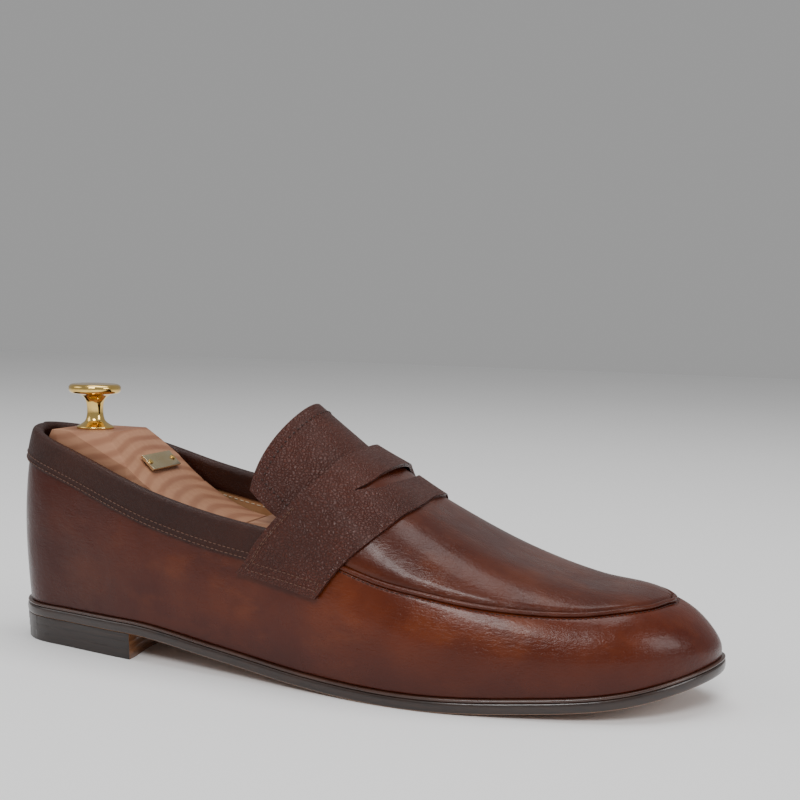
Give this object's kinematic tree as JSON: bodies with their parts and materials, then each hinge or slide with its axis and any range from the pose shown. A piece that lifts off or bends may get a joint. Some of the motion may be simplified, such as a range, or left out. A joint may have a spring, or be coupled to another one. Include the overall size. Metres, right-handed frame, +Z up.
{
  "type": "penny loafer",
  "caption": "Right-foot brown leather penny loafer with apron toe, slotted saddle strap, low stacked heel and a cedar shoe tree with brass knob standing in it.",
  "frame": {"origin": "on the ground, under the middle of the shoe's bounding box", "axes": "+X from heel to toe, +Y to the medial (inner) side, +Z up"},
  "size_m": [0.3022, 0.1046, 0.1116],
  "materials": {
    "calf_leather": "polished, burnished brown calf",
    "calf_leather_dark": "satin, darker brown calf",
    "grain_leather": "pebbled grain, satin",
    "lining_leather": "matte tan lining",
    "sole_leather": "matte",
    "sole_edge_leather": "waxed dark edge",
    "heel_rubber": "matte",
    "insole_board": "matte fibre board",
    "stiffener_board": "matte fibre board",
    "cork": "matte cork",
    "spring_steel": "bright steel",
    "cedar": "smooth, unvarnished cedar",
    "polished_brass": "polished"
  },
  "bodies": {
    "root": {"apron": "calf_leather", "apron_lining": "lining_leather", "cork_filler": "cork", "heel_counter": "stiffener_board", "heel_lift_lower": "sole_leather", "heel_lift_upper": "sole_leather", "heel_nails": "spring_steel", "heel_top_lift": "heel_rubber", "insole": "insole_board", "outsole": "sole_leather", "rand_strip": "sole_edge_leather", "saddle_strap": "grain_leather", "seam_cord": "calf_leather", "shank": "spring_steel", "side_lining": "lining_leather", "side_wall": "calf_leather", "sock_lining": "lining_leather", "toe_puff": "stiffener_board", "tongue": "grain_leather", "top_binding": "calf_leather_dark", "tree_core": "cedar", "tree_guide_tube": "spring_steel", "tree_main_spring": "spring_steel", "tree_spread_pins": "spring_steel"},
    "tree_heel": {"tree_heel_block": "cedar", "tree_knob": "polished_brass", "tree_plate": "polished_brass", "tree_plate_pins": "polished_brass", "tree_guide_rod": "spring_steel"},
    "tree_toe_lateral_half": {"tree_toe_lateral": "cedar"},
    "tree_toe_medial_half": {"tree_toe_medial": "cedar"}
  },
  "joints": [
    {"name": "tree_heel_slide", "type": "slide", "parent": "root", "child": "tree_heel", "axis": [1, 0, 0], "range_m": [0, 0.012], "stiffness_N_per_m": 600, "springref_m": -0.01, "deforming": ["tree_main_spring"]},
    {"name": "tree_toe_lateral_squeeze", "type": "slide", "parent": "root", "child": "tree_toe_lateral_half", "axis": [0, 1, 0], "range_m": [0, 0.002], "stiffness_N_per_m": 800, "springref_m": -0.002},
    {"name": "tree_toe_medial_squeeze", "type": "slide", "parent": "root", "child": "tree_toe_medial_half", "axis": [0, -1, 0], "range_m": [0, 0.002]}
  ],
  "couplings": [
    {"joint": "tree_toe_medial_squeeze", "follows": "tree_toe_lateral_squeeze", "ratio": 1}
  ]
}
